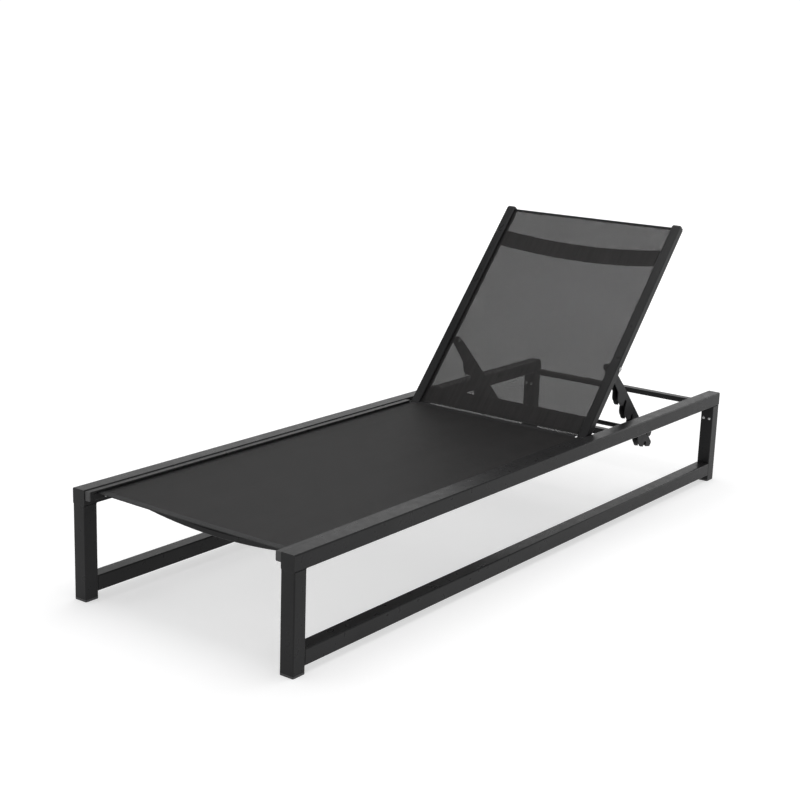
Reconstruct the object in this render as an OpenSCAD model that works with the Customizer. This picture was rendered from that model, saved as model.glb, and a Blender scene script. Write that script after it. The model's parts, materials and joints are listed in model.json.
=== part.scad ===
// Reclining sun lounger: two tubular side frames, a taut seat sling, and a
// hinged backrest that two notched struts prop on a fixed rod.
// Millimetres, +Z up. Y runs from the foot end (-Y) to the head end (+Y).
// Origin: middle of the footprint, on the floor. Right is the +X side.

/* [Overall size] */
// Length over the side rails
length = 1930; // [1600:10:2320]
// Width over the side rails
width = 670; // [560:5:805]
// Height of the side rails' top above the floor
rail_top = 270; // [225:5:325]
// Length of the backrest from its hinge to the end of its side tubes
back_length = 700; // [600:5:800]

/* [Side frames] */
// Outside of the square tube
tube = 38; // [32:0.2:46]
// Wall of the square tube
tube_wall = 2; // [1.6:0.1:2.5]
// Clear height under the bottom rails
floor_gap = 18; // [15:1:22]
// Depth of the welded stub that each leg plugs into
stub_depth = 14; // [10:1:20]

/* [Seat] */
// Sling thickness
sling_thick = 1.2; // [0.8:0.1:1.4]
// Width of the flat cross bars, measured along the sling
bar_width = 48; // [40:1:58]
// Thickness of the flat cross bars
bar_thick = 14; // [11:1:16]
// How far the bowed cross bars drop in the middle
bar_bow = 30; // [20:1:36]

/* [Backrest and struts] */
// Width of the backrest's side tubes
stile_width = 27; // [24:0.5:32]
// Front-to-back depth of the backrest's side tubes
stile_depth = 22; // [20:0.5:26]
// Diameter of the rod that the struts hook onto
rod_d = 13; // [10.8:0.1:15.6]
// Distance from one strut notch to the next
notch_pitch = 66.3; // [62:0.1:72]
// Width of each strut across its two plates
strut_thick = 19; // [16:0.5:22]

/* [Hidden] */
$fn = 64;
arc_fn = 360;           // the long shallow curves of the bowed bars
corner_r = 3;           // outside corners of the square tube

// Side frames
rail_x = width / 2 - tube / 2;      // middle of a rail
inner_x = width / 2 - tube;         // inner face of a rail
rail_low = rail_top - tube;         // underside of a rail
seam_z = rail_low - stub_depth;     // where leg and stub meet
leg_y = length / 2 - tube / 2;      // middle of a leg
leg_face_y = length / 2 - tube;     // face of a leg that looks into the frame
plug_flange = 5;
plug_insert = 20;
insert_clear = 0.1;
fillet_r = 6;
spigot_wall = 2.5;
spigot_in_leg = 53;
leg_screw_z = seam_z - 24;
leg_screw_apart = 18;
leg_screw_d = 5;
leg_screw_head = 8;
leg_screw_length = 10;
hole_clear = 0.1;                   // added to a screw's diameter for its hole

// Seat sling tracks
track_width = 16;
track_height = 22;
track_wall = 1.6;
track_top = rail_top - 2;
track_low = track_top - track_height;
track_x = inner_x - track_width;    // inner face of a track
track_cap = 3;
track_foot_y = -length / 2 + 2;
bore_r = 3.5;                       // keder bore
bore_wall = 1.7;
slot_height = 2.2;                  // slot that the sling leaves the bore by
keder_r = 3.2;
sling_z = rail_top - 8;
seat_bore_in = 6;                   // bore's middle from the track's inner face
track_screw_z = track_low + 5.5;
track_screw_d = 4;
track_screw_head = 7;
track_screws_each = 5;
track_screw_inset = 48;             // first screw from the track's foot end

// Backrest hinge
back_angle = 49;
hinge_y = length / 2 - back_length - 6.9;
hinge_z = rail_top - tube / 2;
axis_depth = 10;                    // hinge axis behind the front face
hinge_gap = 6.5;                    // between a rail and a backrest side tube
bolt_d = 10;
bolt_head = 16;
bolt_head_thick = 2.8;
bolt_socket = 6.5;                  // across the corners of its hex recess
nut_d = 14;
nut_length = 14;
nut_flange_d = 18;
nut_flange = 1.2;
bush_d = 20;
running_clear = 0.05;
track_head_y = hinge_y - 21.6;

// Backrest; drawn lying level with the hinge axis at the origin
stile_out = inner_x - hinge_gap;            // outer face of a side tube
stile_in = stile_out - stile_width;         // inner face
stile_x = stile_out - stile_width / 2;
stile_wall = 2;
stile_mid_z = axis_depth - stile_depth / 2;
stile_foot = 16;                            // reach below the hinge
cap_thick = 3.5;
foot_cap = 3;
back_bore_in = 5.5;                         // bore's middle from the inner face
back_sling_z = axis_depth - 7;
bar_front_z = axis_depth - 8;               // front of both back bars
low_bar_start = 20.5;
top_bar_start = back_length - 126;
back_sling_start = 8;

// Struts, folded channels; drawn along +Y from their pivot, hooks underneath
strut_angle = -47.3;
pivot_along = 234;
pivot_z = axis_depth - stile_depth + 5;
pin_d = 5;
pin_head = 12;
pin_head_thick = 2.5;
washer_thick = 0.9;
side_clear = 0.1;
strut_out = stile_in - washer_thick - 2 * side_clear;
strut_in = strut_out - strut_thick;
strut_wall = 2.5;
eye_r = 9;
strut_length = 377;
strut_waist = 110;                          // where the strut reaches its full height
waist_back = 16;                            // upper edge there, above the pivot line
strut_back = 18.5;                          // and at the far end
strut_end_r = 6;
strut_belly = 14.5;                         // lower edge under the pivot line
notch_count = 4;
held_notch = 2;                             // counted from 0, the one on the rod
seat_r = rod_d / 2 + 0.5;
seat_depth = 7.4;                           // notch under the pivot line
first_seat = 149;
mouth_angle = 62;                           // slope of a notch's slot
mouth_length = 24;
link_inset = 0.3;
hook_lead = 55;                             // a hook starts this far before its notch
// Discs that a hook's outline runs round: along from the notch, height, radius
hook_discs = [
    [-hook_lead, -6, 8],
    [-35, -12.5, 17],
    [-21, -15, 16],
    [1 - seat_r, -seat_depth - seat_r - 5.6, 3.5]
];

// The rod lies in the held notch, so its place follows from the strut's
pivot_world_y = hinge_y + pivot_along * cos(back_angle) - pivot_z * sin(back_angle);
pivot_world_z = hinge_z + pivot_along * sin(back_angle) + pivot_z * cos(back_angle);
seat_along = first_seat + held_notch * notch_pitch;
rod_y = pivot_world_y + seat_along * cos(strut_angle) + seat_depth * sin(strut_angle);
rod_z = pivot_world_z + seat_along * sin(strut_angle) - seat_depth * cos(strut_angle);

// Rod brackets
bracket_thick = 4;
bracket_half = 22;
bracket_top = hinge_z + 11;
bracket_round = rod_d / 2 + 6;
bracket_screw_off = 12;
bracket_screw_d = 5;

// Cross bars of the base
bar_wall = 1.5;
bar_round = 2;
foot_bar_y = -length / 2 + 138;
mid_bar_y = foot_bar_y + 0.58 * (hinge_y - foot_bar_y);
bar_end_top = track_low - 0.2;
rear_bar_y = hinge_y + 196.9;
rear_bar_w = 22;
rear_bar_h = 18;
rear_bar_mid_z = rail_low - 2.4;
head_bar_w = 25;
head_bar_h = 15;
head_bar_mid_z = rail_low - 0.5;
seat_flap_half = stile_in - 2.5;
sling_foot_y = -length / 2 + 25;
sling_head_y = hinge_y + 2.5;

frame_color = "#2b2c2e";
trim_color = "#1d1d1e";
cloth_color = "#38383a";
steel_color = "#8d8f92";

// ---- Shared shapes ----

module rounded_square(w, h, r) {
    square([w - 2 * r, h], center = true);
    square([w, h - 2 * r], center = true);
    for (x = [-1, 1], y = [-1, 1])
        translate([x * (w / 2 - r), y * (h / 2 - r)])
            circle(r);
}

module tube_profile(w, h, r, wall) {
    difference() {
        rounded_square(w, h, r);
        rounded_square(w - 2 * wall, h - 2 * wall, max(r - wall, 0.6));
    }
}

// Profile's x stays X, its y becomes Z
module along_y(len) {
    rotate([90, 0, 0])
        linear_extrude(len, center = true)
            children();
}

// Profile's x becomes Y, its y becomes Z
module along_x(len) {
    rotate([90, 0, 90])
        linear_extrude(len, center = true)
            children();
}

// A cylinder along +X from x0 to x1
module pin_x(x0, x1, d) {
    translate([x0, 0, 0])
        rotate([0, 90, 0])
            cylinder(h = x1 - x0, d = d);
}

// The right side is drawn; the left one is its mirror image
module on_side(side) {
    if (side > 0)
        children();
    else
        mirror([1, 0, 0])
            children();
}

// Foot end is drawn; the head end is its mirror image
module on_end(end) {
    if (end < 0)
        children();
    else
        mirror([0, 1, 0])
            children();
}

module on_back() {
    translate([0, hinge_y, hinge_z])
        rotate([back_angle, 0, 0])
            children();
}

// ---- Side frames ----

module leg_screw_holes() {
    for (x = [-1, 1])
        translate([rail_x + x * leg_screw_apart / 2, -leg_face_y, leg_screw_z])
            rotate([90, 0, 0])
                cylinder(h = leg_screw_length + 1, d = leg_screw_d + hole_clear);
}

module track_screw_spots() {
    step = (track_head_y - track_foot_y - 2 * track_screw_inset + 20)
        / (track_screws_each - 1);
    for (i = [0 : track_screws_each - 1])
        translate([0, track_foot_y + track_screw_inset + i * step, track_screw_z])
            children();
}

module bracket_screw_spots() {
    for (y = [-1, 1])
        translate([0, rod_y + y * bracket_screw_off, hinge_z])
            children();
}

module rail(side) {
    color(frame_color)
        on_side(side)
            difference() {
                translate([rail_x, 0, rail_top - tube / 2])
                    along_y(length)
                        rounded_square(tube, tube, corner_r);
                translate([rail_x, 0, rail_top - tube / 2])
                    along_y(length - 2 * tube_wall)
                        rounded_square(tube - 2 * tube_wall, tube - 2 * tube_wall, 1);
                track_screw_spots()
                    pin_x(inner_x - 1, inner_x + tube_wall + 1, track_screw_d + hole_clear);
                bracket_screw_spots()
                    pin_x(inner_x - 1, inner_x + tube_wall + 1, bracket_screw_d + hole_clear);
                translate([0, hinge_y, hinge_z])
                    pin_x(inner_x - 1, inner_x + tube_wall + 1, nut_d + hole_clear);
            }
}

// Short welded socket under each end of a rail, with a small weld fillet
module stub(side, end) {
    color(frame_color)
        on_side(side)
            on_end(end) {
                translate([rail_x, -leg_y, seam_z])
                    linear_extrude(stub_depth)
                        tube_profile(tube, tube, corner_r, tube_wall);
                translate([rail_x, -leg_face_y, rail_low])
                    along_x(tube - 2 * corner_r)
                        difference() {
                            translate([-tube_wall / 2, -fillet_r])
                                square([fillet_r + tube_wall / 2, fillet_r]);
                            translate([fillet_r, -fillet_r])
                                circle(fillet_r);
                        }
            }
}

module leg(side, end) {
    color(frame_color)
        on_side(side)
            on_end(end)
                difference() {
                    translate([rail_x, -leg_y, plug_flange])
                        linear_extrude(seam_z - plug_flange)
                            tube_profile(tube, tube, corner_r, tube_wall);
                    leg_screw_holes();
                }
}

module stretcher(side) {
    color(frame_color)
        on_side(side)
            translate([rail_x, 0, floor_gap + tube / 2])
                along_y(2 * leg_face_y)
                    tube_profile(tube, tube, corner_r, tube_wall);
}

module foot_plug(side, end) {
    inside = tube - 2 * tube_wall - 2 * insert_clear;
    color(trim_color)
        on_side(side)
            on_end(end)
                translate([rail_x, -leg_y, 0]) {
                    linear_extrude(plug_flange)
                        rounded_square(tube, tube, corner_r);
                    translate([0, 0, plug_flange])
                        linear_extrude(plug_insert)
                            tube_profile(inside, inside, 1, 3);
                }
}

// Sleeves hidden inside the joint between stub and leg
module leg_spigots() {
    inside = tube - 2 * tube_wall - 2 * insert_clear;
    color(steel_color)
        for (side = [-1, 1], end = [-1, 1])
            on_side(side)
                on_end(end)
                    difference() {
                        translate([rail_x, -leg_y, seam_z - spigot_in_leg])
                            linear_extrude(spigot_in_leg + stub_depth)
                                tube_profile(inside, inside, 1, spigot_wall);
                        leg_screw_holes();
                    }
}

module leg_screws() {
    color(steel_color)
        for (side = [-1, 1], end = [-1, 1], x = [-1, 1])
            on_side(side)
                on_end(end)
                    translate([rail_x + x * leg_screw_apart / 2, -leg_face_y, leg_screw_z])
                        rotate([90, 0, 0]) {
                            cylinder(h = leg_screw_length, d = leg_screw_d);
                            pan_head(leg_screw_head, 2.4);
                        }
}

// Low domed screw head standing on the -Z side of the origin, with a cross recess
module pan_head(d, h) {
    difference() {
        union() {
            translate([0, 0, -h / 2])
                cylinder(h = h / 2, d = d);
            translate([0, 0, -h])
                cylinder(h = h / 2, d1 = d * 0.72, d2 = d);
        }
        for (a = [0, 90])
            rotate([0, 0, a])
                translate([0, 0, -h])
                    cube([d * 0.5, d * 0.12, h * 0.8], center = true);
    }
}

// ---- Seat ----

// Extrusion with a keder bore that opens towards the sling on its -x side.
// The profile is centred; bore_at gives the middle of its bore.
module keder_profile(w, h, r, wall, bore_at) {
    difference() {
        rounded_square(w, h, r);
        difference() {
            rounded_square(w - 2 * wall, h - 2 * wall, 0.8);
            translate(bore_at)
                circle(bore_r + bore_wall);
        }
        translate(bore_at)
            circle(bore_r);
        translate([-w / 2 - 1, bore_at[1] - slot_height / 2])
            square([bore_at[0] + w / 2 + 1, slot_height]);
    }
}

module track(side) {
    run = track_head_y - track_foot_y - 2 * track_cap;
    bore_at = [seat_bore_in - track_width / 2, sling_z - track_top + track_height / 2];
    color(frame_color)
        on_side(side)
            difference() {
                translate([
                    inner_x - track_width / 2,
                    (track_head_y + track_foot_y) / 2,
                    track_top - track_height / 2
                ])
                    along_y(run)
                        keder_profile(track_width, track_height, 1.5, track_wall, bore_at);
                track_screw_spots()
                    pin_x(track_x - 1, inner_x + 1, track_screw_d + hole_clear);
            }
}

module track_caps() {
    peg = [7, 4.4, 10];
    color(trim_color)
        for (side = [-1, 1], end = [0, 1])
            on_side(side) {
                plate_y = end == 0 ? track_foot_y + track_cap / 2 : track_head_y - track_cap / 2;
                peg_y = plate_y + (end == 0 ? 1 : -1) * (track_cap + peg[2]) / 2;
                translate([inner_x - track_width / 2, plate_y, track_top - track_height / 2])
                    along_y(track_cap)
                        rounded_square(track_width, track_height, 2.5);
                translate([inner_x - track_width / 2 + 2, peg_y, track_low + 5])
                    along_y(peg[2])
                        square([peg[0], peg[1]], center = true);
            }
}

module track_screws() {
    color(steel_color)
        for (side = [-1, 1])
            on_side(side)
                track_screw_spots() {
                    pin_x(track_x, inner_x + tube_wall + 4, track_screw_d);
                    translate([track_x, 0, 0])
                        rotate([0, 90, 0])
                            pan_head(track_screw_head, 2);
                }
}

module seat_keders() {
    run = track_head_y - track_foot_y - 2 * track_cap - 4;
    color(trim_color)
        for (side = [-1, 1])
            on_side(side)
                translate([track_x + seat_bore_in, (track_head_y + track_foot_y) / 2, sling_z])
                    along_y(run)
                        circle(keder_r);
}

// The taut sling; its last few centimetres narrow to pass between the side tubes
module seat_sling() {
    half = track_x + seat_bore_in - keder_r - 0.1;
    wide_end = track_head_y - track_cap - 1;
    color(cloth_color)
        translate([0, 0, sling_z - sling_thick / 2])
            linear_extrude(sling_thick)
                polygon([
                    [-half, sling_foot_y],
                    [half, sling_foot_y],
                    [half, wide_end],
                    [seat_flap_half, wide_end],
                    [seat_flap_half, sling_head_y],
                    [-seat_flap_half, sling_head_y],
                    [-seat_flap_half, wide_end],
                    [-half, wide_end]
                ]);
}

// Flat tube bent to a shallow arc. Its upper face passes through z = 0 at both
// ends and drops by the bow in the middle; it is centred on y = 0.
module bowed_bar(half) {
    bend_r = (half * half + bar_bow * bar_bow) / (2 * bar_bow);
    sweep = asin(half / bend_r) + 1;
    intersection() {
        translate([0, 0, bend_r - bar_bow])
            rotate([90, 0, 0])
                rotate([0, 0, -90 - sweep])
                    rotate_extrude(angle = 2 * sweep, $fn = arc_fn)
                        translate([bend_r + bar_thick / 2, 0])
                            tube_profile(bar_thick, bar_width, bar_round, bar_wall);
        translate([-half, -bar_width, -2 * bar_bow - bar_thick])
            cube([2 * half, 2 * bar_width, 3 * bar_bow + 2 * bar_thick]);
    }
}

module seat_bar_foot() {
    color(frame_color)
        translate([0, foot_bar_y, bar_end_top])
            bowed_bar(inner_x);
}

module seat_bar_mid() {
    color(frame_color)
        translate([0, mid_bar_y, bar_end_top])
            bowed_bar(inner_x);
}

module cross_bar_rear() {
    color(frame_color)
        translate([0, rear_bar_y, rear_bar_mid_z])
            along_x(2 * inner_x)
                tube_profile(rear_bar_w, rear_bar_h, bar_round, bar_wall);
}

module head_bar() {
    color(frame_color)
        translate([0, length / 2 - head_bar_w / 2, head_bar_mid_z])
            along_x(2 * inner_x)
                tube_profile(head_bar_w, head_bar_h, bar_round, bar_wall);
}

// ---- Rod that the struts hook onto ----

module rest_rod() {
    color(frame_color)
        translate([0, rod_y, rod_z])
            pin_x(-inner_x, inner_x, rod_d);
}

module rod_brackets() {
    rise = bracket_top - rod_z;
    low = rail_low + 6 - rod_z;
    color(frame_color)
        for (side = [-1, 1])
            on_side(side)
                difference() {
                    translate([inner_x - bracket_thick / 2, rod_y, rod_z])
                        along_x(bracket_thick) {
                            circle(bracket_round);
                            polygon([
                                [-bracket_half, rise],
                                [-bracket_half, low],
                                [-bracket_round, 0],
                                [bracket_round, 0],
                                [bracket_half, low],
                                [bracket_half, rise]
                            ]);
                        }
                    translate([0, rod_y, rod_z])
                        pin_x(inner_x - bracket_thick - 1, inner_x + 1, rod_d + hole_clear);
                    bracket_screw_spots()
                        pin_x(inner_x - bracket_thick - 1, inner_x + 1, bracket_screw_d + hole_clear);
                }
}

module bracket_screws() {
    color(steel_color)
        for (side = [-1, 1])
            on_side(side)
                bracket_screw_spots() {
                    pin_x(inner_x - bracket_thick, inner_x + tube_wall + 4, bracket_screw_d);
                    translate([inner_x - bracket_thick, 0, 0])
                        rotate([0, 90, 0])
                            pan_head(8, 2.4);
                }
}

// ---- Hinge ----

module hinge_bolts() {
    color(steel_color)
        for (side = [-1, 1])
            on_side(side)
                translate([0, hinge_y, hinge_z]) {
                    pin_x(stile_in - side_clear, inner_x + nut_length - 1, bolt_d);
                    difference() {
                        pin_x(stile_in - side_clear - bolt_head_thick, stile_in - side_clear, bolt_head);
                        translate([stile_in - side_clear - bolt_head_thick - 1, 0, 0])
                            rotate([0, 90, 0])
                                cylinder(h = 3, d = bolt_socket, $fn = 6);
                    }
                }
}

module hinge_nuts() {
    color(steel_color)
        for (side = [-1, 1])
            on_side(side)
                translate([0, hinge_y, hinge_z])
                    difference() {
                        union() {
                            pin_x(inner_x - nut_flange, inner_x, nut_flange_d);
                            pin_x(inner_x, inner_x + nut_length, nut_d);
                        }
                        pin_x(inner_x - nut_flange - 1, inner_x + nut_length + 1, bolt_d + hole_clear);
                    }
}

module hinge_bushes() {
    color(trim_color)
        for (side = [-1, 1])
            on_side(side)
                translate([0, hinge_y, hinge_z])
                    difference() {
                        pin_x(stile_out + side_clear, inner_x - nut_flange, bush_d);
                        pin_x(stile_out - 1, inner_x + 1, bolt_d + hole_clear);
                    }
}

// ---- Backrest ----

module stile(side) {
    low = -stile_foot + foot_cap;
    bore_at = [back_bore_in - stile_width / 2, back_sling_z - stile_mid_z];
    color(frame_color)
        on_side(side)
            on_back()
                difference() {
                    translate([stile_x, (back_length + low) / 2, stile_mid_z])
                        along_y(back_length - low)
                            keder_profile(stile_width, stile_depth, 2, stile_wall, bore_at);
                    pin_x(stile_in - 1, stile_out + 1, bolt_d + 2 * running_clear);
                    translate([0, pivot_along, pivot_z])
                        pin_x(stile_in - 1, stile_out + 1, pin_d + hole_clear);
                }
}

module stile_cap(from, thick, peg_dir) {
    peg = 10;
    translate([stile_x, from + thick / 2, stile_mid_z])
        along_y(thick)
            rounded_square(stile_width, stile_depth, 5);
    translate([
        stile_out - stile_wall - 5.3,
        from + thick / 2 + peg_dir * (thick + peg) / 2,
        stile_mid_z
    ])
        along_y(peg)
            square([10, stile_depth - 2 * stile_wall - 0.6], center = true);
}

module stile_caps_top() {
    color(trim_color)
        for (side = [-1, 1])
            on_side(side)
                on_back()
                    stile_cap(back_length, cap_thick, -1);
}

// The foot peg would meet the hinge bolt, so the foot caps carry a plate only
module stile_caps_foot() {
    color(trim_color)
        for (side = [-1, 1])
            on_side(side)
                on_back()
                    translate([stile_x, -stile_foot + foot_cap / 2, stile_mid_z])
                        along_y(foot_cap)
                            rounded_square(stile_width, stile_depth, 5);
}

module back_bar_low() {
    color(frame_color)
        on_back()
            translate([0, low_bar_start + bar_width / 2, bar_front_z - bar_thick / 2])
                along_x(2 * stile_in)
                    tube_profile(bar_width, bar_thick, bar_round, bar_wall);
}

module back_bar_top() {
    color(frame_color)
        on_back()
            translate([0, top_bar_start + bar_width / 2, bar_front_z])
                bowed_bar(stile_in);
}

module back_keders() {
    low = back_sling_start;
    high = back_length - 2;
    color(trim_color)
        for (side = [-1, 1])
            on_side(side)
                on_back()
                    translate([stile_in + back_bore_in, (low + high) / 2, back_sling_z])
                        along_y(high - low)
                            circle(keder_r);
}

module back_sling() {
    half = stile_in + back_bore_in - keder_r - 0.1;
    run = back_length - 1 - back_sling_start;
    color(cloth_color)
        on_back()
            translate([-half, back_sling_start, back_sling_z - sling_thick / 2])
                cube([2 * half, run, sling_thick]);
}

// ---- Struts ----

module on_pivot() {
    on_back()
        translate([0, pivot_along, pivot_z])
            rotate([strut_angle - back_angle, 0, 0])
                children();
}

module strut_pivots() {
    color(steel_color)
        for (side = [-1, 1])
            on_side(side)
                on_pivot() {
                    pin_x(strut_in - side_clear, stile_out, pin_d);
                    pin_x(strut_in - side_clear - pin_head_thick, strut_in - side_clear, pin_head);
                    translate([stile_out, 0, 0])
                        rotate([0, -90, 0])
                            pan_head(pin_head, pin_head_thick);
                }
}

module strut_washers() {
    color(trim_color)
        for (side = [-1, 1])
            on_side(side)
                on_pivot()
                    difference() {
                        pin_x(strut_out + side_clear, stile_in - side_clear, 14);
                        pin_x(strut_out - 1, stile_in + 1, pin_d + hole_clear);
                    }
}

// Struts are built up from discs and plates of the strut's own thickness
module disc(y, z, r, more = 0) {
    translate([-more / 2, y, z])
        pin_x(0, strut_thick + more, 2 * r);
}

module plate(points, more = 0) {
    translate([strut_thick / 2, 0, 0])
        along_x(strut_thick + more)
            polygon(points);
}

// Straight-sided plate between two discs, link_inset inside their common tangents
module link(from, to) {
    r1 = from[2] - link_inset;
    r2 = to[2] - link_inset;
    step = [to[0] - from[0], to[1] - from[1]];
    heading = atan2(step[1], step[0]);
    spread = acos((r1 - r2) / norm(step));
    left = [cos(heading + spread), sin(heading + spread)];
    right = [cos(heading - spread), sin(heading - spread)];
    plate([
        [from[0], from[1]] + r1 * left,
        [to[0], to[1]] + r2 * left,
        [to[0], to[1]] + r2 * right,
        [from[0], from[1]] + r1 * right
    ]);
}

// One hook before its notch is cut, with the notch at y = 0
module hook() {
    for (d = hook_discs)
        disc(d[0], d[1], d[2]);
    for (i = [1 : len(hook_discs) - 1])
        link(hook_discs[i - 1], hook_discs[i]);
}

// Slot with a round seat for the rod, open downwards and towards the far end
module notch() {
    mouth = rod_d / 2 + 0.15;
    translate([0, 0, -seat_depth])
        rotate([-mouth_angle, 0, 0]) {
            disc(0, 0, seat_r, 2);
            plate([[0, -mouth], [mouth_length, -mouth], [mouth_length, mouth], [0, mouth]], 2);
        }
}

module spine() {
    disc(0, 0, eye_r);
    plate([
        [0, eye_r],
        [30, 11.5],
        [strut_waist, waist_back],
        [strut_length - strut_end_r, strut_back],
        [strut_length - strut_end_r, strut_back - strut_end_r],
        [strut_length, strut_back - strut_end_r],
        [strut_length, 3],
        [strut_length - 24, -strut_belly],
        [first_seat - hook_lead, -strut_belly],
        [0, -eye_r]
    ]);
    disc(strut_length - strut_end_r, strut_back - strut_end_r, strut_end_r);
}

// Hollow between the two plates, open below
module channel() {
    start = eye_r + 5;
    end = strut_length - strut_wall;
    low = -strut_belly - 40;
    plate([
        [start, low],
        [start, eye_r - strut_wall],
        [strut_waist, waist_back - strut_wall],
        [end - strut_end_r, strut_back - strut_wall],
        [end, strut_back - strut_wall - strut_end_r],
        [end, low]
    ], -2 * strut_wall);
}

module each_notch() {
    for (i = [0 : notch_count - 1])
        translate([0, first_seat + i * notch_pitch, 0])
            children();
}

module strut(side) {
    color(frame_color)
        on_side(side)
            on_pivot()
                translate([strut_in, 0, 0])
                    difference() {
                        union() {
                            spine();
                            each_notch()
                                hook();
                        }
                        channel();
                        each_notch()
                            notch();
                        pin_x(-1, strut_thick + 1, pin_d + 2 * running_clear);
                    }
}

// ---- Parts ----

rail(1);  // rail_r
rail(-1);  // rail_l
stub(1, -1);  // stub_rf
stub(1, 1);  // stub_rh
stub(-1, -1);  // stub_lf
stub(-1, 1);  // stub_lh
leg(1, -1);  // leg_rf
leg(1, 1);  // leg_rh
leg(-1, -1);  // leg_lf
leg(-1, 1);  // leg_lh
stretcher(1);  // stretcher_r
stretcher(-1);  // stretcher_l
foot_plug(1, -1);  // plug_rf
foot_plug(1, 1);  // plug_rh
foot_plug(-1, -1);  // plug_lf
foot_plug(-1, 1);  // plug_lh
leg_spigots();
leg_screws();
track(1);  // track_r
track(-1);  // track_l
track_caps();
track_screws();
seat_keders();
seat_sling();
seat_bar_foot();
seat_bar_mid();
cross_bar_rear();
head_bar();
rest_rod();
rod_brackets();
bracket_screws();
hinge_bolts();
hinge_nuts();
hinge_bushes();
stile(1);  // stile_r
stile(-1);  // stile_l
stile_caps_top();
stile_caps_foot();
back_bar_top();
back_bar_low();
back_keders();
back_sling();
strut_pivots();
strut_washers();
strut(1);  // strut_r
strut(-1);  // strut_l
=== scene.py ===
import json
from math import atan2, cos, floor, hypot, pi, radians, sin

import bmesh
import bpy
from mathutils import Matrix, Vector


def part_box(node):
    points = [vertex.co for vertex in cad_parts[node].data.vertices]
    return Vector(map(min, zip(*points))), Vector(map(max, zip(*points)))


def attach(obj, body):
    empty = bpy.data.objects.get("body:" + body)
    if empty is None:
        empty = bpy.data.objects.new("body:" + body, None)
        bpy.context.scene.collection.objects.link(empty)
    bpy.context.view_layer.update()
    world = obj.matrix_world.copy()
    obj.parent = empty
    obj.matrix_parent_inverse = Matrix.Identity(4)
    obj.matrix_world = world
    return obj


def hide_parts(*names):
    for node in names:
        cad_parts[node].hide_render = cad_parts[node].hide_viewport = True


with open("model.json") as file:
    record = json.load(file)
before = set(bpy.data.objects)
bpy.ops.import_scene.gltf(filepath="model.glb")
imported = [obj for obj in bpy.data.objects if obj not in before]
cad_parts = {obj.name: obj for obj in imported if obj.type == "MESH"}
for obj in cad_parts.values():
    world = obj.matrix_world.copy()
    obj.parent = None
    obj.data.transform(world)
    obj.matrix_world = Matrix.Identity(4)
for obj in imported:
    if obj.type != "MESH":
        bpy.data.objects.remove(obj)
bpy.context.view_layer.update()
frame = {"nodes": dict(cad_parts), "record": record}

MM = 0.001
NODES = frame["nodes"]

# Woven sling cloth
YARN_PITCH = 1.6 * MM        # centre to centre of neighbouring yarns
HOLE = 0.62 * MM             # clear gap between them
CLOTH_THICK = 0.3 * MM
SLING_CAD_THICK = 1.2 * MM

# How the two sheets lie
SEAT_DIP = 1.6 * MM          # how far a taut sling still sinks in its middle
BACK_DIP = 0.8 * MM
SHEET_END_IN = 1.5 * MM      # the single layer ends this far inside a hem's fold

# Hems and their sewing
SEAT_HEM = 22 * MM
SEAT_HEAD_HEM = SEAT_HEM * 0.7
BACK_HEM = 9 * MM
HEM_THICK = 1.5 * MM
HEM_SIDE_IN = 0.5 * MM
HEM_STEP = 12 * MM           # between the points that a hem is drawn with
HEM_TURN_STEPS = 6
CUT_EDGE_IN = 0.2 * MM
CUT_EDGE_SHARE = 0.62        # of the hem's half thickness, at its pressed cut edge
RIPPLE = 0.12 * MM           # unevenness along a hem
RIPPLE_RUN = 9 * MM
STITCH_PITCH = 3.6 * MM
STITCH_LENGTH = 2.7 * MM
STITCH_SIDES = 6
SEWING_SIDE_IN = 2 * MM
THREAD_R = 0.32 * MM
THREAD_SUNK = 0.05 * MM
THREAD_PLUMP = 1.1           # a stitch's height over its width


# ---------------------------------------------------------------- materials

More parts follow.
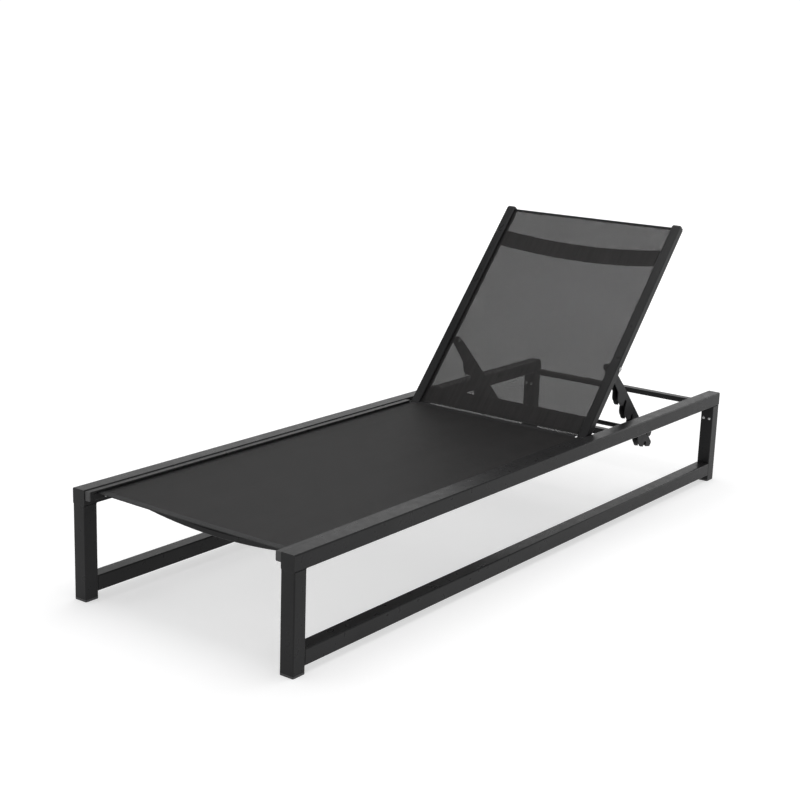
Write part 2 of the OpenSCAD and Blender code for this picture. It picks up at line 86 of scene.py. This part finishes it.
class Shader:
    """A node material with short ways to add nodes to it."""

    def __init__(self, name):
        self.material = bpy.data.materials.new(name)
        self.material.use_nodes = True
        self.tree = self.material.node_tree
        self.nodes = self.tree.nodes
        self.bsdf = self.nodes["Principled BSDF"]
        self.output = self.nodes["Material Output"]

    def link(self, a, b):
        self.tree.links.new(a, b)

    def put(self, socket, value):
        if isinstance(value, bpy.types.NodeSocket):
            self.link(value, socket)
        else:
            socket.default_value = value

    def math(self, operation, a, b=0.0, c=0.0):
        node = self.nodes.new("ShaderNodeMath")
        node.operation = operation
        for socket, value in zip(node.inputs, (a, b, c)):
            self.put(socket, value)
        return node.outputs[0]

    def coordinates(self, kind="Object"):
        return self.nodes.new("ShaderNodeTexCoord").outputs[kind]

    def noise(self, where, size, detail=2.0, stretch=(1.0, 1.0, 1.0)):
        """Noise whose lumps are about size metres across."""
        mapping = self.nodes.new("ShaderNodeMapping")
        self.link(where, mapping.inputs["Vector"])
        mapping.inputs["Scale"].default_value = [s / size for s in stretch]
        node = self.nodes.new("ShaderNodeTexNoise")
        node.inputs["Scale"].default_value = 1.0
        node.inputs["Detail"].default_value = detail
        self.link(mapping.outputs["Vector"], node.inputs["Vector"])
        return node.outputs["Fac"]

    def spread(self, value, low, high, from_low=0.3, from_high=0.7):
        """value, taken from one range to another and clamped."""
        node = self.nodes.new("ShaderNodeMapRange")
        for name, number in (
            ("From Min", from_low),
            ("From Max", from_high),
            ("To Min", low),
            ("To Max", high),
        ):
            node.inputs[name].default_value = number
        self.link(value, node.inputs["Value"])
        return node.outputs["Result"]

    def blend_colors(self, factor, first, second):
        node = self.nodes.new("ShaderNodeMix")
        node.data_type = "RGBA"
        self.put(node.inputs["Factor"], factor)
        self.put(node.inputs["A"], first)
        self.put(node.inputs["B"], second)
        return node.outputs["Result"]

    def bump(self, height, depth, strength=1.0, under=None):
        node = self.nodes.new("ShaderNodeBump")
        node.inputs["Strength"].default_value = strength
        node.inputs["Distance"].default_value = depth
        self.link(height, node.inputs["Height"])
        if under is not None:
            self.link(under, node.inputs["Normal"])
        return node.outputs["Normal"]

    def edges(self, radius):
        """1 on the convex and concave edges of the shape, 0 on its flats."""
        rounded = self.nodes.new("ShaderNodeBevel")
        rounded.samples = 4
        rounded.inputs["Radius"].default_value = radius
        plain = self.nodes.new("ShaderNodeNewGeometry")
        dot = self.nodes.new("ShaderNodeVectorMath")
        dot.operation = "DOT_PRODUCT"
        self.link(rounded.outputs["Normal"], dot.inputs[0])
        self.link(plain.outputs["Normal"], dot.inputs[1])
        return self.spread(dot.outputs["Value"], 1.0, 0.0, 0.80, 0.995)

    def set(self, **values):
        for name, value in values.items():
            self.put(self.bsdf.inputs[name.replace("_", " ")], value)


def rgb(r, g, b):
    return (r, g, b, 1.0)


def powder_coat(name, dark, light, rough):
    """Fine matte powder coat: tiny orange peel, faint cloudiness, and a painted highlight that
    lightens the edges.
    """
    s = Shader(name)
    where = s.coordinates()
    clouds = s.noise(where, 0.16, 3.0)
    specks = s.noise(where, 0.9 * MM, 2.0)
    grain = s.noise(where, 0.35 * MM, 1.0)
    # painted highlight: the edges, patchy along their length, are blended towards a lighter colour
    painted_edge_highlight = s.math("MULTIPLY", s.edges(1.4 * MM), s.spread(s.noise(where, 6 * MM), 0.0, 0.6))
    speck_color = rgb(0.05, 0.05, 0.052)
    edge_highlight_color = rgb(0.045, 0.045, 0.047)
    body = s.blend_colors(s.spread(clouds, 0.0, 1.0), dark, light)
    speckled = s.blend_colors(s.spread(specks, 0.0, 0.22, 0.35, 0.75), body, speck_color)
    s.set(
        Base_Color=s.blend_colors(painted_edge_highlight, speckled, edge_highlight_color),
        Roughness=s.spread(s.noise(where, 22 * MM, 3.0), rough - 0.04, rough + 0.05),
        Normal=s.bump(grain, 0.03 * MM, 0.35, s.bump(specks, 0.09 * MM, 0.5)),
        Specular_IOR_Level=0.12,
    )
    return s.material


def moulded_plastic(name, dark, light):
    """Black plastic with a fine moulded grain and faint scuffs."""
    s = Shader(name)
    where = s.coordinates()
    grain = s.noise(where, 0.5 * MM, 3.0)
    scuffs = s.noise(where, 9 * MM, 4.0)
    s.set(
        Base_Color=s.blend_colors(s.spread(scuffs, 0.0, 1.0), dark, light),
        Roughness=s.spread(scuffs, 0.42, 0.6),
        Normal=s.bump(grain, 0.08 * MM, 0.5),
    )
    return s.material


def turned_steel(name, dark, light):
    """Steel with fine turning marks and faint stains."""
    s = Shader(name)
    where = s.coordinates()
    turned = s.noise(where, 0.5 * MM, 3.0, (1.0, 8.0, 8.0))
    stains = s.noise(where, 4 * MM, 3.0)
    s.set(
        Base_Color=s.blend_colors(s.spread(stains, 0.0, 1.0), dark, light),
        Metallic=1.0,
        Roughness=s.spread(turned, 0.28, 0.5),
        Normal=s.bump(turned, 0.03 * MM, 0.4),
    )
    return s.material


def woven_height(s, where):
    """For a place given in metres: the height of a plain weave there, 1 where a
    hole is, and a tone that differs from one warp yarn to the next."""
    split = s.nodes.new("ShaderNodeSeparateXYZ")
    s.link(where, split.inputs[0])
    across = s.math("DIVIDE", split.outputs["X"], YARN_PITCH)
    along = s.math("DIVIDE", split.outputs["Y"], YARN_PITCH)
    half_yarn = (YARN_PITCH - HOLE) / 2 / YARN_PITCH

    def ridge(position):
        """1 on a yarn's middle, 0 at its edges, negative in the gap beside it."""
        offset = s.math("ABSOLUTE", s.math("SUBTRACT", s.math("FRACT", position), 0.5))
        return s.math("SUBTRACT", 1.0, s.math("DIVIDE", offset, half_yarn))

    warp, weft = ridge(across), ridge(along)
    turn = s.math(
        "MULTIPLY",
        s.math("SINE", s.math("MULTIPLY", across, pi)),
        s.math("SINE", s.math("MULTIPLY", along, pi)),
    )
    middle, swing = 0.55, 0.45    # a yarn's height, and how far it goes over and under
    warp_up = s.math("MULTIPLY_ADD", turn, swing, middle)
    weft_up = s.math("SUBTRACT", 2 * middle, warp_up)
    height = s.math(
        "MAXIMUM",
        s.math("MULTIPLY", s.math("MAXIMUM", warp, 0.0), warp_up),
        s.math("MULTIPLY", s.math("MAXIMUM", weft, 0.0), weft_up),
    )
    hole = s.math(
        "MULTIPLY",
        s.math("LESS_THAN", warp, 0.0),
        s.math("LESS_THAN", weft, 0.0),
    )
    cell = s.nodes.new("ShaderNodeCombineXYZ")
    s.link(s.math("FLOOR", across), cell.inputs["X"])
    warp_tone = s.nodes.new("ShaderNodeTexWhiteNoise")
    s.link(cell.outputs["Vector"], warp_tone.inputs["Vector"])
    return height, hole, warp_tone.outputs["Value"]


def woven_mesh(name, open_mesh, dark, light):
    """Coated yarn in a plain weave; a single layer has holes between its yarns."""
    s = Shader(name)
    where = s.coordinates("UV")
    height, hole, tone = woven_height(s, where)
    clouds = s.noise(where, 0.07, 3.0)
    mixed = s.math("MULTIPLY_ADD", tone, 0.45, s.math("MULTIPLY", clouds, 0.55))
    s.set(
        Base_Color=s.blend_colors(s.spread(mixed, 0.0, 1.0, 0.25, 0.75), dark, light),
        Roughness=s.spread(height, 0.62, 0.5, 0.1, 1.0),
        Normal=s.bump(height, 0.22 * MM, 0.6),
        Specular_IOR_Level=0.2,
    )
    if open_mesh:
        clear = s.nodes.new("ShaderNodeBsdfTransparent")
        mix = s.nodes.new("ShaderNodeMixShader")
        s.link(hole, mix.inputs["Fac"])
        s.link(s.bsdf.outputs["BSDF"], mix.inputs[1])
        s.link(clear.outputs["BSDF"], mix.inputs[2])
        s.link(mix.outputs["Shader"], s.output.inputs["Surface"])
    return s.material


def sewing_thread(name, dark, light):
    """Twisted thread."""
    s = Shader(name)
    where = s.coordinates()
    twist = s.noise(where, 0.25 * MM, 2.0)
    s.set(
        Base_Color=s.blend_colors(s.spread(twist, 0.0, 1.0), dark, light),
        Roughness=0.55,
        Normal=s.bump(twist, 0.05 * MM, 0.6),
    )
    return s.material


def studio_floor(name):
    """Pale floor that glows as painted light, more so away from its middle, so the floor around the
    lounger shows painted shade.
    """
    s = Shader(name)
    where = s.coordinates()
    reach = s.nodes.new("ShaderNodeVectorMath")
    reach.operation = "LENGTH"
    near, far = 1.2, 4.0    # metres from the middle that the glow grows between
    s.link(where, reach.inputs[0])
    s.set(
        Base_Color=s.blend_colors(
            s.spread(s.noise(where, 0.8, 3.0), 0.0, 1.0),
            rgb(0.59, 0.59, 0.595),
            rgb(0.61, 0.61, 0.61),
        ),
        Roughness=0.75,
        Specular_IOR_Level=0.1,
        Emission_Color=rgb(1.0, 1.0, 1.0),
        # painted light: emission whitens the floor, and being weaker near the middle it paints shade
        # around the lounger
        Emission_Strength=s.spread(reach.outputs["Value"], 0.54, 0.9, near, far),
    )
    return s.material


# ---------------------------------------------------------------- sling cloth

class SlingPlane:
    """The flat plane that a sling's CAD solid lies in: x across, along from its
    middle towards the head, out of its upper face."""

    def __init__(self, node):
        low, high = (Vector(c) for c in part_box(node))
        rise = high.z - low.z
        run = high.y - low.y
        slope = atan2(rise, run) if rise > 2 * SLING_CAD_THICK else 0.0
        # The box holds the solid's thickness too, which a few rounds take out
        for _ in range(4 if slope else 0):
            slope = atan2(
                rise - SLING_CAD_THICK * cos(slope), run - SLING_CAD_THICK * sin(slope)
            )
        self.slope = slope
        self.middle = (low + high) / 2
        self.half = (high.x - low.x) / 2
        self.length = hypot(
            run - SLING_CAD_THICK * sin(slope),
            rise - SLING_CAD_THICK * cos(slope) if slope else 0.0,
        )
        self.along = Vector((0.0, cos(slope), sin(slope)))
        self.out = Vector((0.0, -sin(slope), cos(slope)))

    def at(self, x, along, out=0.0):
        place = self.middle + self.along * along + self.out * out
        return Vector((x, place.y, place.z))


def new_piece(name, bm, material, smooth=True):
    mesh = bpy.data.meshes.new(name)
    bm.to_mesh(mesh)
    bm.free()
    for polygon in mesh.polygons:
        polygon.use_smooth = smooth
    piece = bpy.data.objects.new(name, mesh)
    bpy.context.scene.collection.objects.link(piece)
    piece.data.materials.append(material)
    return piece


def cloth_sheet(name, plane, half_at, start, end, lift, material, step=14 * MM):
    """A closed, very thin sheet from start to end along the sling. half_at gives
    its half width at a distance along, and lift its height off the plane."""
    rows = max(2, round((end - start) / step))
    columns = max(2, round(2 * plane.half / step))
    bm = bmesh.new()
    uv = bm.loops.layers.uv.new("cloth")
    sides = []
    for face_side in (1, -1):
        grid = []
        for j in range(rows + 1):
            along = start + (end - start) * j / rows
            half = half_at(along)
            line = []
            for i in range(columns + 1):
                x = half * (2 * i / columns - 1)
                out = lift(x / half, along) + face_side * CLOTH_THICK / 2
                vert = bm.verts.new(plane.at(x, along, out))
                line.append((vert, (x, along)))
            grid.append(line)
        sides.append(grid)

    def quad(*corners):
        face = bm.faces.new([vert for vert, _ in corners])
        for loop, (_, place) in zip(face.loops, corners):
            loop[uv].uv = place

    top, under = sides
    for j in range(rows):
        for i in range(columns):
            quad(top[j][i], top[j][i + 1], top[j + 1][i + 1], top[j + 1][i])
            quad(under[j][i], under[j + 1][i], under[j + 1][i + 1], under[j][i + 1])
    for j in range(rows):
        quad(top[j][0], top[j + 1][0], under[j + 1][0], under[j][0])
        quad(top[j][-1], under[j][-1], under[j + 1][-1], top[j + 1][-1])
    for i in range(columns):
        quad(top[0][i], under[0][i], under[0][i + 1], top[0][i + 1])
        quad(top[-1][i], top[-1][i + 1], under[-1][i + 1], under[-1][i])
    return new_piece(name, bm, material)


def hem_band(name, plane, half, start, end, lift, material):
    """Cloth folded over on itself: a flat loop with one round edge and one cut edge."""
    columns = round(2 * half / HEM_STEP)
    radius = HEM_THICK / 2
    direction = 1 if end > start else -1
    cut_edge = end - direction * CUT_EDGE_IN
    outline = [(cut_edge, radius * CUT_EDGE_SHARE)]
    outline += [(start + direction * radius, radius)]
    for k in range(1, HEM_TURN_STEPS):
        angle = pi * k / HEM_TURN_STEPS
        outline.append((start + direction * (radius - radius * sin(angle)), radius * cos(angle)))
    outline += [(start + direction * radius, -radius)]
    outline += [(cut_edge, -radius * CUT_EDGE_SHARE)]
    bm = bmesh.new()
    uv = bm.loops.layers.uv.new("cloth")
    rings = []
    for i in range(columns + 1):
        x = half * (2 * i / columns - 1)
        ripple = RIPPLE * sin(x / RIPPLE_RUN)
        rings.append([
            (bm.verts.new(plane.at(x, along, out * (1 + ripple / HEM_THICK) + lift(x / half, along))),
             (x, along + (out if out < 0 else 0.0)))
            for along, out in outline
        ])
    count = len(outline)
    for i in range(columns):
        for k in range(count):
            corners = [rings[i][k], rings[i][(k + 1) % count],
                       rings[i + 1][(k + 1) % count], rings[i + 1][k]]
            if direction < 0:
                corners.reverse()
            face = bm.faces.new([vert for vert, _ in corners])
            for loop, (_, place) in zip(face.loops, corners):
                loop[uv].uv = place
    for ring, flip in ((rings[0], False), (rings[-1], True)):
        verts = [vert for vert, _ in ring]
        bm.faces.new(verts if flip == (direction > 0) else verts[::-1])
    bmesh.ops.recalc_face_normals(bm, faces=bm.faces)
    return new_piece(name, bm, material)


def stitch_row(bm, plane, half, along, lift, side):
    """Short raised stitches in a straight row across the sling, on one face."""
    count = floor(2 * half / STITCH_PITCH)
    for i in range(count):
        x = (i + 0.5 - count / 2) * STITCH_PITCH
        height = side * (HEM_THICK / 2 - THREAD_SUNK) + lift(x / half, along)
        ends = [bm.verts.new(plane.at(x + e * STITCH_LENGTH / 2, along, height)) for e in (-1, 1)]
        ring = []
        for k in range(STITCH_SIDES):
            angle = 2 * pi * k / STITCH_SIDES
            out = height + side * THREAD_R * THREAD_PLUMP * sin(angle)
            ring.append(bm.verts.new(plane.at(x, along + THREAD_R * cos(angle), out)))
        for k in range(STITCH_SIDES):
            a, b = ring[k], ring[(k + 1) % STITCH_SIDES]
            bm.faces.new((ends[1], a, b) if side > 0 else (ends[1], b, a))
            bm.faces.new((ends[0], b, a) if side > 0 else (ends[0], a, b))


def sewing(name, plane, half, rows, lift, material):
    """Stitches along each of the rows, on both faces of the sling."""
    bm = bmesh.new()
    for along in rows:
        for side in (1, -1):
            stitch_row(bm, plane, half, along, lift, side)
    bmesh.ops.recalc_face_normals(bm, faces=bm.faces)
    return new_piece(name, bm, material)


# ---------------------------------------------------------------- materials used

FRAME_COAT = powder_coat("frame_coat", rgb(0.009, 0.009, 0.0092), rgb(0.014, 0.014, 0.0144), 0.30)
STRUT_COAT = powder_coat("strut_coat", rgb(0.015, 0.015, 0.016), rgb(0.022, 0.022, 0.023), 0.42)
PLASTIC = moulded_plastic("black_plastic", rgb(0.014, 0.014, 0.015), rgb(0.03, 0.03, 0.031))
STEEL = turned_steel("zinc_steel", rgb(0.36, 0.36, 0.37), rgb(0.6, 0.6, 0.6))
BLACK_STEEL = turned_steel("black_steel", rgb(0.020, 0.020, 0.021), rgb(0.045, 0.045, 0.046))
SLING_MESH = woven_mesh("sling_mesh", True, rgb(0.0095, 0.009, 0.009), rgb(0.017, 0.016, 0.016))
HEM_CLOTH = woven_mesh("hem_cloth", False, rgb(0.008, 0.008, 0.0085), rgb(0.014, 0.014, 0.015))
THREAD = sewing_thread("thread", rgb(0.02, 0.02, 0.022), rgb(0.06, 0.06, 0.062))

SLOT_MATERIALS = {
    "frame": FRAME_COAT,
    "strut": STRUT_COAT,
    "plastic": PLASTIC,
    "keder": PLASTIC,
    "steel": STEEL,
}
BLACKENED = ("hinge_bolts", "hinge_nuts")

# Width of the softened edges of each finish
EDGE_ROUND = {"frame": 0.5 * MM, "strut": 1.4 * MM, "plastic": 0.6 * MM, "steel": 0.25 * MM}


# ---------------------------------------------------------------- CAD nodes

def soften(node, width):
    """Takes the knife edge off a CAD node; its faces stay where they are."""
    weld = node.modifiers.new("weld", "WELD")
    weld.merge_threshold = 0.002 * MM
    bevel = node.modifiers.new("soft_edges", "BEVEL")
    bevel.width = width
    bevel.segments = 2
    bevel.limit_method = "ANGLE"
    bevel.angle_limit = radians(40)
    bevel.use_clamp_overlap = True
    bevel.harden_normals = True


def dress_cad_nodes():
    """Gives each CAD node that stays in view its finish and softened edges."""
    for row in frame["record"]["subparts"]:
        slot = row["material_slot"]
        if slot not in SLOT_MATERIALS:
            continue
        node = NODES[row["node"]]
        node.data.materials.clear()
        node.data.materials.append(
            BLACK_STEEL if row["node"] in BLACKENED else SLOT_MATERIALS[slot]
        )
        if slot in EDGE_ROUND:
            soften(node, EDGE_ROUND[slot])


# ---------------------------------------------------------------- slings

def seat_cloth():
    plane = SlingPlane("seat_sling")
    foot = -plane.length / 2
    head = plane.length / 2
    track_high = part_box("track_r")[1]
    wide_end = track_high[1] - plane.middle.y - 2 * MM
    flap_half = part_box("stile_r")[0][0] - 2.5 * MM
    neck = 6 * MM

    def half_at(along):
        """Full width along the tracks, then a short neck to pass the side tubes."""
        if along <= wide_end:
            return plane.half
        return flap_half + (plane.half - flap_half) * max(0.0, 1 - (along - wide_end) / neck)

    def sag(across, along):
        """A taut sling still dips a little between its tracks."""
        return -SEAT_DIP * (1 - across * across)

    cloth = cloth_sheet(
        "seat_cloth", plane, half_at, foot + SHEET_END_IN, head - SHEET_END_IN, sag, SLING_MESH
    )
    foot_hem = hem_band(
        "seat_hem_foot", plane, plane.half - HEM_SIDE_IN, foot, foot + SEAT_HEM, sag, HEM_CLOTH
    )
    head_hem = hem_band(
        "seat_hem_head", plane, flap_half, head, head - SEAT_HEAD_HEM, sag, HEM_CLOTH
    )
    foot_seam = sewing(
        "seat_sewing_foot", plane, plane.half - SEWING_SIDE_IN,
        [foot + SEAT_HEM - 4 * MM, foot + SEAT_HEM - 10 * MM], sag, THREAD,
    )
    head_seam = sewing(
        "seat_sewing_head", plane, flap_half - SEWING_SIDE_IN,
        [head - SEAT_HEAD_HEM + 4 * MM], sag, THREAD,
    )
    extras = [foot_hem, head_hem, foot_seam, head_seam]
    for piece in [cloth, *extras]:
        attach(piece, "base")
    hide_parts("seat_sling")


def back_cloth():
    plane = SlingPlane("back_sling")
    foot = -plane.length / 2
    head = plane.length / 2

    def half_at(along):
        return plane.half

    def hollow(across, along):
        """Even a sling drawn tight between its side tubes gives a little."""
        return -BACK_DIP * (1 - across * across)

    cloth = cloth_sheet(
        "back_cloth", plane, half_at, foot + SHEET_END_IN, head - SHEET_END_IN, hollow, SLING_MESH
    )
    head_hem = hem_band(
        "back_hem_top", plane, plane.half - HEM_SIDE_IN, head, head - BACK_HEM, hollow, HEM_CLOTH
    )
    seam = sewing(
        "back_sewing", plane, plane.half - SEWING_SIDE_IN,
        [head - BACK_HEM + 2.5 * MM], hollow, THREAD,
    )
    extras = [head_hem, seam]
    for piece in [cloth, *extras]:
        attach(piece, "backrest")
    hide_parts("back_sling")


# ---------------------------------------------------------------- studio

FLOOR_HALF = 30              # metres from its middle to each edge
WALL_GLOW = 1.05
CEILING_GLOW = 0.25
WALL_TOP = radians(25)       # height above the horizon where the walls' glow starts to fade
CEILING_START = radians(38)
LAMP_AIM = Vector((0.0, 0.0, 0.2))


def ground():
    bm = bmesh.new()
    bmesh.ops.create_grid(bm, x_segments=8, y_segments=8, size=FLOOR_HALF)
    floor_piece = new_piece("studio_floor", bm, studio_floor("floor"), smooth=False)


def walls():
    """Bright walls all round, under a darker ceiling."""
    world = bpy.data.worlds.new("studio")
    bpy.context.scene.world = world
    world.use_nodes = True
    nodes, links = world.node_tree.nodes, world.node_tree.links
    background = nodes["Background"]
    background.inputs["Color"].default_value = rgb(1.0, 1.0, 1.0)
    split = nodes.new("ShaderNodeSeparateXYZ")
    links.new(nodes.new("ShaderNodeTexCoord").outputs["Generated"], split.inputs[0])
    fade = nodes.new("ShaderNodeMapRange")
    for name, number in (
        ("From Min", sin(WALL_TOP)),
        ("From Max", sin(CEILING_START)),
        ("To Min", WALL_GLOW),
        ("To Max", CEILING_GLOW),
    ):
        fade.inputs[name].default_value = number
    links.new(split.outputs["Z"], fade.inputs["Value"])
    links.new(fade.outputs["Result"], background.inputs["Strength"])


def lamps():
    for name, place, size, power in (
        ("overhead", (0.0, 0.3, 3.4), 3.2, 75.0),
        ("front_left", (-2.6, -3.2, 2.4), 2.0, 12.0),
    ):
        lamp = bpy.data.lights.new(name, "AREA")
        lamp.shape = "SQUARE"
        lamp.size = size
        lamp.energy = power
        holder = bpy.data.objects.new(name, lamp)
        holder.location = place
        toward = LAMP_AIM - Vector(place)
        holder.rotation_euler = toward.to_track_quat("-Z", "Y").to_euler()
        bpy.context.scene.collection.objects.link(holder)


def camera():
    """Looks at the lounger from its foot end, to the right and a little above."""
    azimuth, elevation, roll = radians(36.94), radians(14.08), radians(1.92)
    distance = 4.058
    target = Vector((-0.1394, 0.0, 0.3357))
    back = Vector((
        sin(azimuth) * cos(elevation), -cos(azimuth) * cos(elevation), sin(elevation)
    ))
    right = Vector((0.0, 0.0, 1.0)).cross(back).normalized()
    up = back.cross(right)
    right, up = right * cos(roll) + up * sin(roll), up * cos(roll) - right * sin(roll)
    turn = Matrix((right, up, back)).transposed().to_4x4()
    lens = bpy.data.cameras.new("camera")
    lens.lens = 68.15
    lens.sensor_width = 36.0
    holder = bpy.data.objects.new("camera", lens)
    holder.matrix_world = Matrix.Translation(target + back * distance) @ turn
    bpy.context.scene.collection.objects.link(holder)
    bpy.context.scene.camera = holder


dress_cad_nodes()
seat_cloth()
back_cloth()
ground()
walls()
lamps()
camera()
bpy.context.scene.view_settings.view_transform = "Standard"
